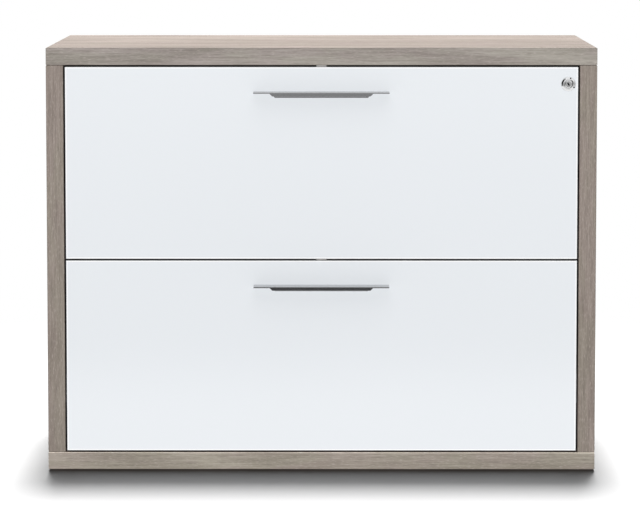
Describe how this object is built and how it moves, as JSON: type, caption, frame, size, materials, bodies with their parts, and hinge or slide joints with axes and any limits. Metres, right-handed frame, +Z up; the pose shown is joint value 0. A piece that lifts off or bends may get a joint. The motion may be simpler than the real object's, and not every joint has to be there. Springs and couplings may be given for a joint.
{
  "type": "lateral filing pedestal",
  "caption": "Wide office filing pedestal: oak-look case, inset white gloss file drawers with slim lip handles on ball-bearing slides, and a central cylinder lock.",
  "frame": {"origin": "on the floor, under the middle of the overall width and depth, handles included", "axes": "+Z up, +X to the right of someone facing the drawers, -Y out of the front"},
  "size_m": [0.8, 0.5202, 0.6203],
  "materials": {
    "grey_oak_laminate": "satin grey-brown oak-look laminate with fine grain",
    "white_gloss_lacquer": "high-gloss white lacquer on board",
    "white_melamine": "matt white melamine on board",
    "satin_aluminium": "satin anodised, brushed along its length",
    "polished_chrome": "polished chrome plate",
    "zinc_plated_steel": "bright zinc plate",
    "clear_grey_plastic": "soft translucent pale grey",
    "black_plastic": "moulded black plastic"
  },
  "bodies": {
    "case": {"top_panel": "grey_oak_laminate", "bottom_panel": "grey_oak_laminate", "left_side_panel": "grey_oak_laminate", "right_side_panel": "grey_oak_laminate", "back_panel": "grey_oak_laminate", "front_left_floor_glide": "black_plastic", "front_right_floor_glide": "black_plastic", "rear_left_floor_glide": "black_plastic", "rear_right_floor_glide": "black_plastic", "upper_left_case_rail": "zinc_plated_steel", "upper_right_case_rail": "zinc_plated_steel", "lower_left_case_rail": "zinc_plated_steel", "lower_right_case_rail": "zinc_plated_steel", "upper_bar_guide": "black_plastic", "lower_bar_guide": "black_plastic"},
    "upper_drawer": {"upper_drawer_front": "white_gloss_lacquer", "upper_handle": "satin_aluminium", "upper_handle_left_screw": "zinc_plated_steel", "upper_handle_right_screw": "zinc_plated_steel", "upper_gap_pad": "clear_grey_plastic", "upper_box_left_side": "white_melamine", "upper_box_right_side": "white_melamine", "upper_box_back": "white_melamine", "upper_box_bottom": "white_melamine", "upper_front_file_rail": "zinc_plated_steel", "upper_rear_file_rail": "zinc_plated_steel", "upper_left_drawer_rail": "zinc_plated_steel", "upper_right_drawer_rail": "zinc_plated_steel", "upper_lock_catch": "zinc_plated_steel", "lock_housing": "polished_chrome", "lock_nut": "zinc_plated_steel"},
    "lower_drawer": {"lower_drawer_front": "white_gloss_lacquer", "lower_handle": "satin_aluminium", "lower_handle_left_screw": "zinc_plated_steel", "lower_handle_right_screw": "zinc_plated_steel", "lower_gap_pad": "clear_grey_plastic", "lower_box_left_side": "white_melamine", "lower_box_right_side": "white_melamine", "lower_box_back": "white_melamine", "lower_box_bottom": "white_melamine", "lower_front_file_rail": "zinc_plated_steel", "lower_rear_file_rail": "zinc_plated_steel", "lower_left_drawer_rail": "zinc_plated_steel", "lower_right_drawer_rail": "zinc_plated_steel", "lower_lock_catch": "zinc_plated_steel"},
    "lock_cylinder": {"lock_plug": "polished_chrome", "lock_cam": "zinc_plated_steel"},
    "locking_bar": {"locking_bar": "zinc_plated_steel"},
    "upper_middle_rails": {"upper_left_middle_rail": "zinc_plated_steel", "upper_right_middle_rail": "zinc_plated_steel"},
    "upper_outer_cages": {"upper_left_outer_ball_cage": "zinc_plated_steel", "upper_right_outer_ball_cage": "zinc_plated_steel"},
    "upper_inner_cages": {"upper_left_inner_ball_cage": "zinc_plated_steel", "upper_right_inner_ball_cage": "zinc_plated_steel"},
    "lower_middle_rails": {"lower_left_middle_rail": "zinc_plated_steel", "lower_right_middle_rail": "zinc_plated_steel"},
    "lower_outer_cages": {"lower_left_outer_ball_cage": "zinc_plated_steel", "lower_right_outer_ball_cage": "zinc_plated_steel"},
    "lower_inner_cages": {"lower_left_inner_ball_cage": "zinc_plated_steel", "lower_right_inner_ball_cage": "zinc_plated_steel"}
  },
  "joints": [
    {"name": "upper_drawer_slide", "type": "slide", "parent": "case", "child": "upper_drawer", "axis": [0, -1, 0], "range_m": [0, 0.4]},
    {"name": "lower_drawer_slide", "type": "slide", "parent": "case", "child": "lower_drawer", "axis": [0, -1, 0], "range_m": [0, 0.4]},
    {"name": "lock_turn", "type": "hinge", "parent": "upper_drawer", "child": "lock_cylinder", "pos_m": [0.3582, -0.22985, 0.5678], "axis": [0, -1, 0], "range_deg": [0, 90]},
    {"name": "locking_bar_lift", "type": "slide", "parent": "case", "child": "locking_bar", "axis": [0, 0, 1], "range_m": [0, 0.0128]},
    {"name": "upper_middle_rails_slide", "type": "slide", "parent": "case", "child": "upper_middle_rails", "axis": [0, -1, 0], "range_m": [0, 0.2]},
    {"name": "upper_outer_cages_slide", "type": "slide", "parent": "case", "child": "upper_outer_cages", "axis": [0, -1, 0], "range_m": [0, 0.1]},
    {"name": "upper_inner_cages_slide", "type": "slide", "parent": "case", "child": "upper_inner_cages", "axis": [0, -1, 0], "range_m": [0, 0.3]},
    {"name": "lower_middle_rails_slide", "type": "slide", "parent": "case", "child": "lower_middle_rails", "axis": [0, -1, 0], "range_m": [0, 0.2]},
    {"name": "lower_outer_cages_slide", "type": "slide", "parent": "case", "child": "lower_outer_cages", "axis": [0, -1, 0], "range_m": [0, 0.1]},
    {"name": "lower_inner_cages_slide", "type": "slide", "parent": "case", "child": "lower_inner_cages", "axis": [0, -1, 0], "range_m": [0, 0.3]}
  ],
  "couplings": [
    {"joint": "lock_turn", "follows": "locking_bar_lift", "rad_per_m": 122.71},
    {"joint": "upper_middle_rails_slide", "follows": "upper_drawer_slide", "ratio": 0.5},
    {"joint": "upper_outer_cages_slide", "follows": "upper_drawer_slide", "ratio": 0.25},
    {"joint": "upper_inner_cages_slide", "follows": "upper_drawer_slide", "ratio": 0.75},
    {"joint": "lower_middle_rails_slide", "follows": "lower_drawer_slide", "ratio": 0.5},
    {"joint": "lower_outer_cages_slide", "follows": "lower_drawer_slide", "ratio": 0.25},
    {"joint": "lower_inner_cages_slide", "follows": "lower_drawer_slide", "ratio": 0.75}
  ]
}
